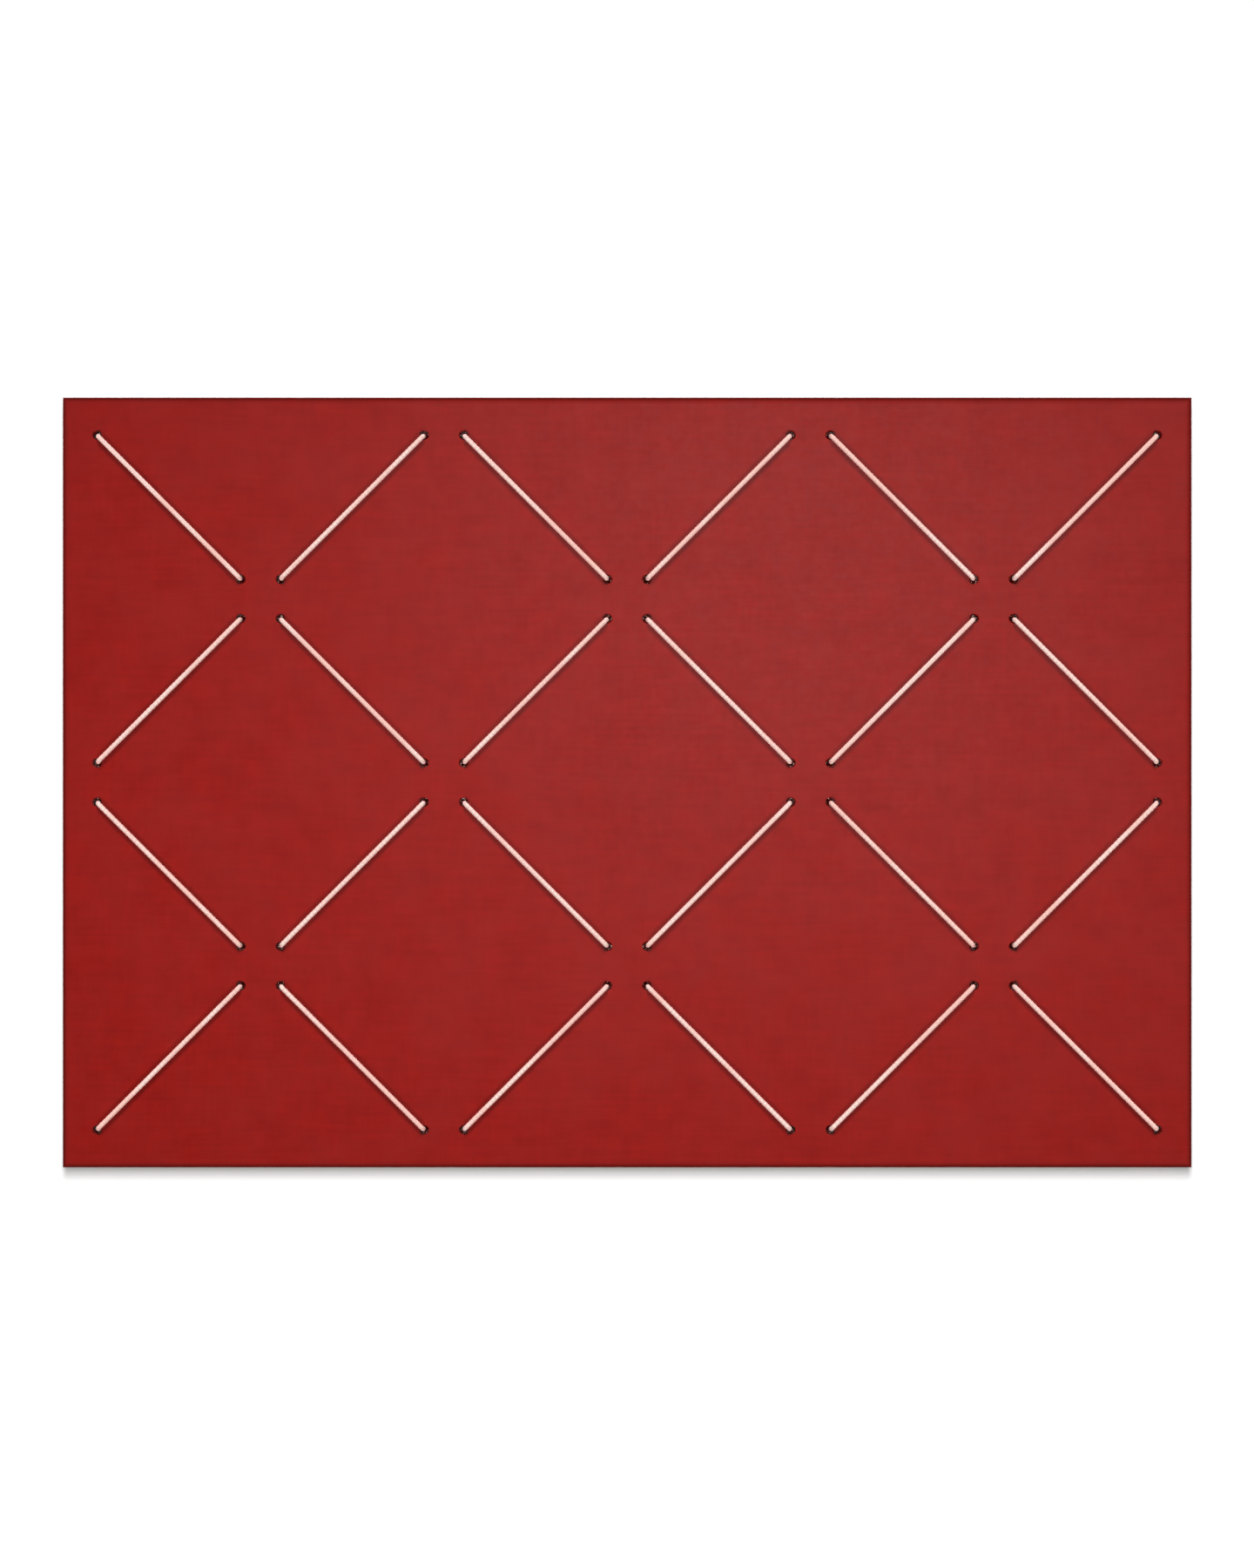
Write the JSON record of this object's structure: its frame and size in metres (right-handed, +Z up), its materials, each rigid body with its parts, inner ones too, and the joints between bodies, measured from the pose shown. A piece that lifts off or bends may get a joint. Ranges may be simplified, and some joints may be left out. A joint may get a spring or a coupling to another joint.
{
  "type": "linoleum pin board",
  "caption": "Landscape wall board faced with linoleum and laced with a diamond lattice of elastic cord that holds cards and photos.",
  "frame": {"origin": "on the wall plane, midway between the two wall screws that the keyhole hangers hang on, level with their axes", "axes": "+X to the viewer's right along the board, +Y into the wall, +Z up; the display face looks towards -Y"},
  "size_m": [0.66, 0.0297, 0.45],
  "materials": {
    "linoleum": "satin furniture linoleum, dark red, faintly mottled, with a darker cut edge",
    "core": "dark through-dyed fibreboard, matte",
    "backing": "resin-pressed kraft balancing sheet, matte brown",
    "cord": "braided elastic cord, cream with a pink cast",
    "batten": "planed pine, clear matte oil",
    "hanger_steel": "zinc-plated pressed steel",
    "screw_steel": "zinc-plated countersunk screw",
    "felt": "dense grey wool felt, self-adhesive"
  },
  "bodies": {
    "root": {"linoleum_front_sheet": "linoleum", "core_panel": "core", "backing_sheet": "backing", "elastic_cord_a": "cord", "elastic_cord_b": "cord", "upper_batten": "batten", "lower_batten": "batten", "upper_batten_screw_1": "screw_steel", "upper_batten_screw_2": "screw_steel", "upper_batten_screw_3": "screw_steel", "upper_batten_screw_4": "screw_steel", "upper_wall_pad_left": "felt", "upper_wall_pad_right": "felt", "lower_batten_screw_1": "screw_steel", "lower_batten_screw_2": "screw_steel", "lower_batten_screw_3": "screw_steel", "lower_batten_screw_4": "screw_steel", "lower_wall_pad_left": "felt", "lower_wall_pad_right": "felt", "keyhole_hanger_left": "hanger_steel", "hanger_screw_left_1": "screw_steel", "hanger_screw_left_2": "screw_steel", "keyhole_hanger_right": "hanger_steel", "hanger_screw_right_1": "screw_steel", "hanger_screw_right_2": "screw_steel"}
  },
  "joints": []
}
